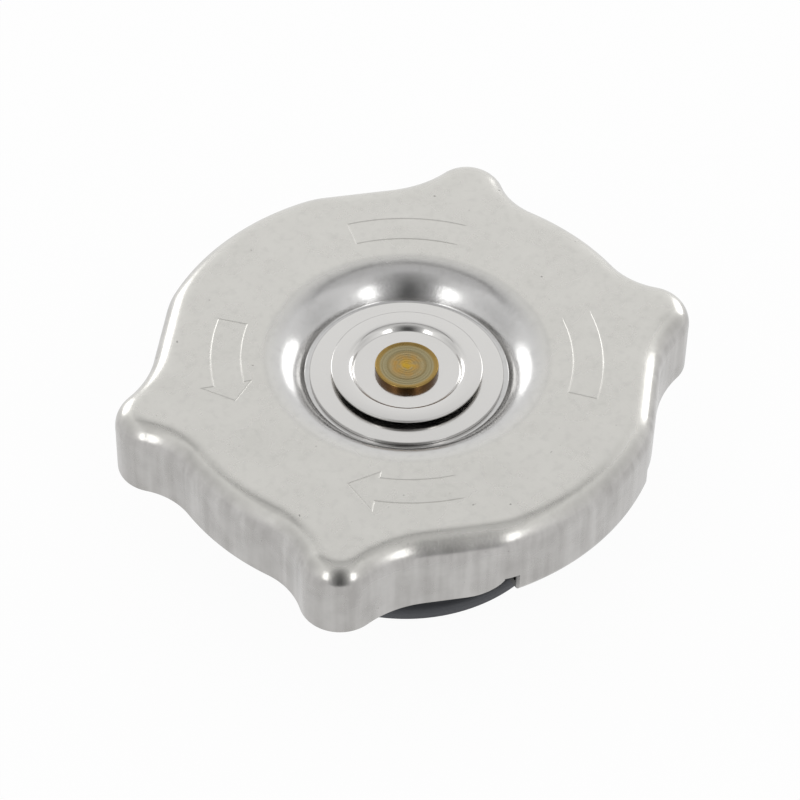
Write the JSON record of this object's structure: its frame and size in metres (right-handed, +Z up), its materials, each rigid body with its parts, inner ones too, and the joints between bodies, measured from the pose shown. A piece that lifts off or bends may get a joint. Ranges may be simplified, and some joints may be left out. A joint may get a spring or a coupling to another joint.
{
  "type": "radiator cap",
  "caption": "Bright pressed-steel bayonet radiator cap with finger ears, a brass rivet in its well, and a sprung pressure valve with an inner vacuum valve below.",
  "frame": {"origin": "centre of the underside of the pressure seal, on which the cap stands", "axes": "+Z up along the cap's axis, +X midway between the two ears of a pair, tabs at -Y and +Y"},
  "size_m": [0.0636, 0.062, 0.0257],
  "materials": {
    "cover_steel": "bright satin pressed sheet",
    "polished_steel": "polished",
    "rivet_brass": "turned, slightly tarnished",
    "valve_brass": "plain drawn",
    "spring_steel": "bright drawn",
    "plated_steel": "plated drawn sheet",
    "seal_rubber": "matt black"
  },
  "bodies": {
    "cover": {"cover": "cover_steel"},
    "carrier": {"rivet": "rivet_brass", "flat_washer": "polished_steel", "cup_washer": "polished_steel", "spring_disc": "spring_steel", "upper_seal": "seal_rubber", "guide_cup": "plated_steel", "pressure_spring": "spring_steel"},
    "pressure_valve": {"valve_cage": "plated_steel", "valve_plate": "plated_steel", "pressure_seal": "seal_rubber", "seal_retainer": "valve_brass", "vacuum_spring": "spring_steel"},
    "vacuum_valve": {"vacuum_valve": "valve_brass", "vacuum_seal": "seal_rubber", "spring_keeper": "plated_steel"}
  },
  "joints": [
    {"name": "swivel", "type": "hinge", "parent": "cover", "child": "carrier", "pos_m": [0, 0, 0.0219], "axis": [0, 0, 1], "continuous": true},
    {"name": "pressure_lift", "type": "slide", "parent": "carrier", "child": "pressure_valve", "axis": [0, 0, 1], "range_m": [0, 0.004], "stiffness_N_per_m": 3000, "springref_m": -0.009, "deforming": ["pressure_spring"]},
    {"name": "vacuum_drop", "type": "slide", "parent": "pressure_valve", "child": "vacuum_valve", "axis": [0, 0, -1], "range_m": [0, 0.0015], "stiffness_N_per_m": 60, "springref_m": -0.003, "deforming": ["vacuum_spring"]}
  ]
}
